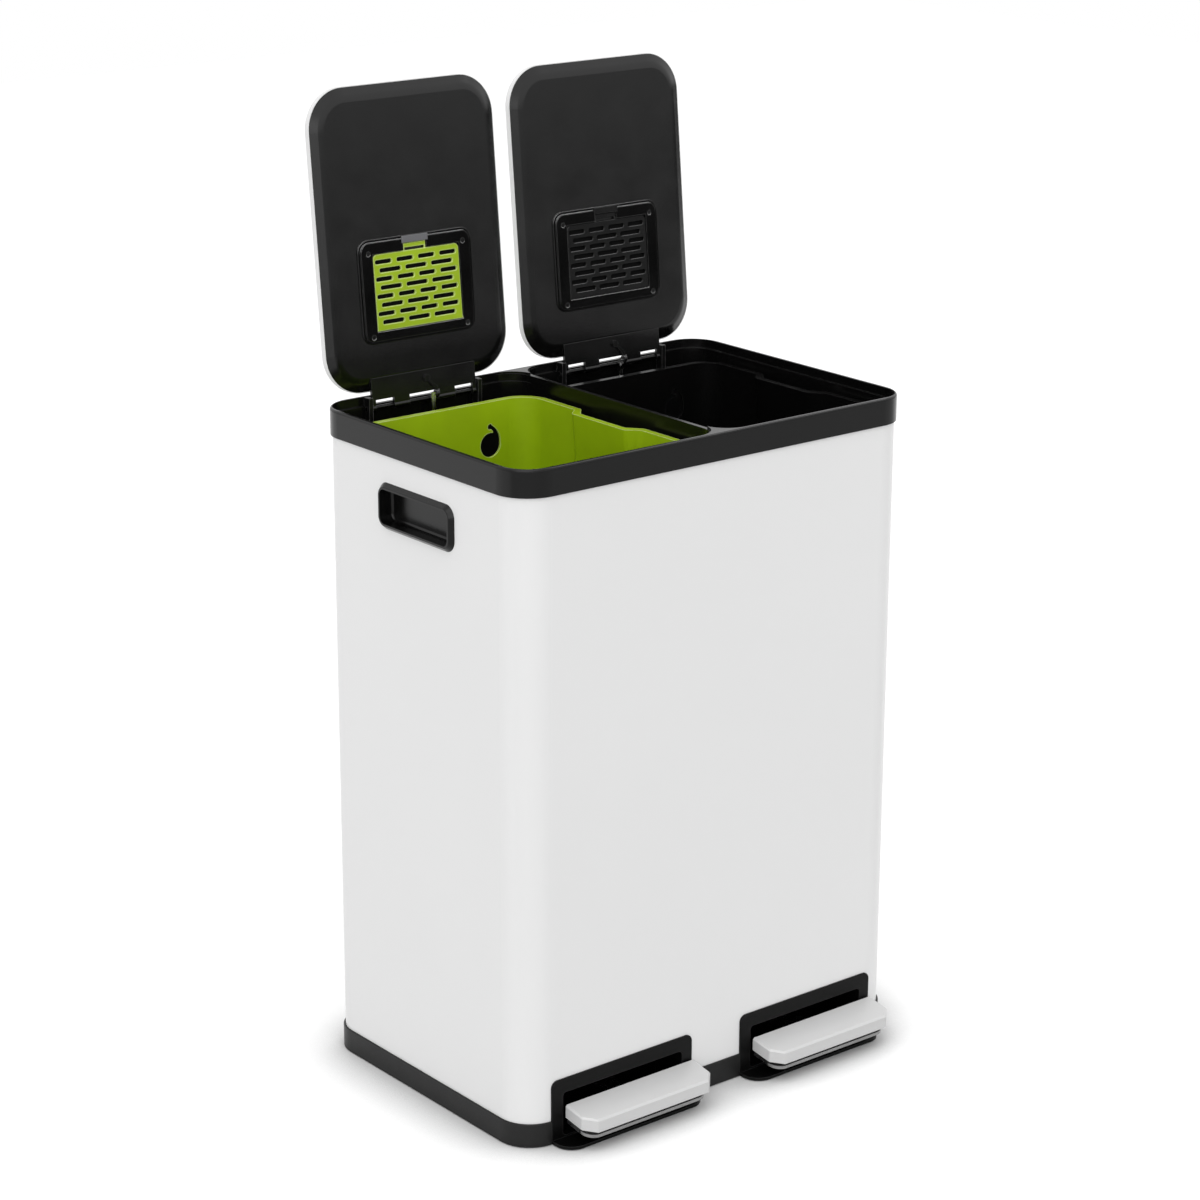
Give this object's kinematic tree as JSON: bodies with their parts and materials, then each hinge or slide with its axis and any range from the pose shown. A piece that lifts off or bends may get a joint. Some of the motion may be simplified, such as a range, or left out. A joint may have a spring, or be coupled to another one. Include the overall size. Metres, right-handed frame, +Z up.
{
  "type": "pedal recycling bin",
  "caption": "Rectangular pedal bin with side-by-side hinged lids, lift-out buckets, charcoal filter grilles inside the lids and grip cups on the sides.",
  "frame": {"origin": "on the ground under the middle of the body", "axes": "X along the front, Y to the back, Z up"},
  "size_m": [0.473, 0.3828, 0.9379],
  "materials": {
    "white_steel": "smooth satin white paint",
    "silver_paint": "satin light grey paint",
    "black_plastic": "satin moulded black",
    "dark_plastic": "fine-grained dark moulding",
    "green_plastic": "satin moulded lime green",
    "grey_plastic": "satin moulded grey",
    "bright_steel": "bright zinc-plated",
    "black_steel": "blackened steel",
    "grey_steel": "grey coated sheet",
    "rubber": "matt black rubber",
    "charcoal_felt": "coarse charcoal felt"
  },
  "bodies": {
    "bin": {"outer_shell": "white_steel", "base_tray": "dark_plastic", "feet": "rubber", "top_frame": "black_plastic", "bucket_deck": "grey_steel", "rivets": "bright_steel", "side_handle_left": "black_plastic", "side_handle_right": "black_plastic", "pedal_housing_left": "black_plastic", "pedal_housing_right": "black_plastic", "hinge_bracket_left": "grey_steel", "hinge_bracket_right": "grey_steel", "hinge_pin_left": "black_steel", "hinge_pin_right": "black_steel", "lever_bracket_left": "grey_steel", "lever_bracket_right": "grey_steel", "lever_axle_left": "bright_steel", "lever_axle_right": "bright_steel", "rod_guides_left": "dark_plastic", "rod_guides_right": "dark_plastic", "damper_left": "dark_plastic", "damper_right": "dark_plastic"},
    "lid_left": {"lid_skin_left": "white_steel", "lid_liner_left": "black_plastic", "filter_frame_left": "black_plastic", "filter_pad_left": "charcoal_felt", "filter_screws_left": "black_steel"},
    "door_left": {"filter_door_left": "green_plastic"},
    "clip_left": {"filter_clip_left": "grey_plastic"},
    "pedal_left": {"pedal_cap_left": "silver_paint", "pedal_lever_left": "bright_steel"},
    "rod_left": {"push_rod_left": "bright_steel", "damper_piston_left": "bright_steel"},
    "inner_bucket_left": {"bucket_left": "green_plastic"},
    "lid_right": {"lid_skin_right": "white_steel", "lid_liner_right": "black_plastic", "filter_frame_right": "black_plastic", "filter_pad_right": "charcoal_felt", "filter_screws_right": "black_steel"},
    "door_right": {"filter_door_right": "black_plastic"},
    "clip_right": {"filter_clip_right": "black_plastic"},
    "pedal_right": {"pedal_cap_right": "silver_paint", "pedal_lever_right": "bright_steel"},
    "rod_right": {"push_rod_right": "bright_steel", "damper_piston_right": "bright_steel"},
    "inner_bucket_right": {"bucket_right": "black_plastic"}
  },
  "joints": [
    {"name": "lid_hinge_left", "type": "hinge", "parent": "bin", "child": "lid_left", "pos_m": [-0.1155, 0.149, 0.6385], "axis": [-1, 0, 0], "range_deg": [-95.4, 0]},
    {"name": "rod_lift_left", "type": "slide", "parent": "bin", "child": "rod_left", "axis": [0, 0, 1], "range_m": [-0.0097, 0]},
    {"name": "pedal_hinge_left", "type": "hinge", "parent": "bin", "child": "pedal_left", "pos_m": [-0.1075, -0.027, 0.02], "axis": [1, 0, 0], "range_deg": [-3.3, 0]},
    {"name": "door_hinge_left", "type": "hinge", "parent": "lid_left", "child": "door_left", "pos_m": [-0.1155, 0.15219, 0.71112], "axis": [-1, 0, 0], "range_deg": [-90, 0]},
    {"name": "clip_slide_left", "type": "slide", "parent": "lid_left", "child": "clip_left", "axis": [0, 0.0943, 0.9955], "range_m": [0, 0.002]},
    {"name": "bucket_lift_left", "type": "slide", "parent": "bin", "child": "inner_bucket_left", "axis": [0, 0, 1], "range_m": [0, 0.6]},
    {"name": "lid_hinge_right", "type": "hinge", "parent": "bin", "child": "lid_right", "pos_m": [0.1155, 0.149, 0.6385], "axis": [-1, 0, 0], "range_deg": [-95.4, 0]},
    {"name": "rod_lift_right", "type": "slide", "parent": "bin", "child": "rod_right", "axis": [0, 0, 1], "range_m": [-0.0097, 0]},
    {"name": "pedal_hinge_right", "type": "hinge", "parent": "bin", "child": "pedal_right", "pos_m": [0.1235, -0.027, 0.02], "axis": [1, 0, 0], "range_deg": [-3.3, 0]},
    {"name": "door_hinge_right", "type": "hinge", "parent": "lid_right", "child": "door_right", "pos_m": [0.1155, 0.15219, 0.71112], "axis": [-1, 0, 0], "range_deg": [-90, 0]},
    {"name": "clip_slide_right", "type": "slide", "parent": "lid_right", "child": "clip_right", "axis": [0, 0.0943, 0.9955], "range_m": [0, 0.002]},
    {"name": "bucket_lift_right", "type": "slide", "parent": "bin", "child": "inner_bucket_right", "axis": [0, 0, 1], "range_m": [0, 0.6]}
  ],
  "couplings": [
    {"joint": "rod_lift_left", "follows": "lid_hinge_left", "m_per_rad": 0.005775},
    {"joint": "pedal_hinge_left", "follows": "lid_hinge_left", "ratio": 0.033668},
    {"joint": "rod_lift_right", "follows": "lid_hinge_right", "m_per_rad": 0.005775},
    {"joint": "pedal_hinge_right", "follows": "lid_hinge_right", "ratio": 0.033668}
  ]
}
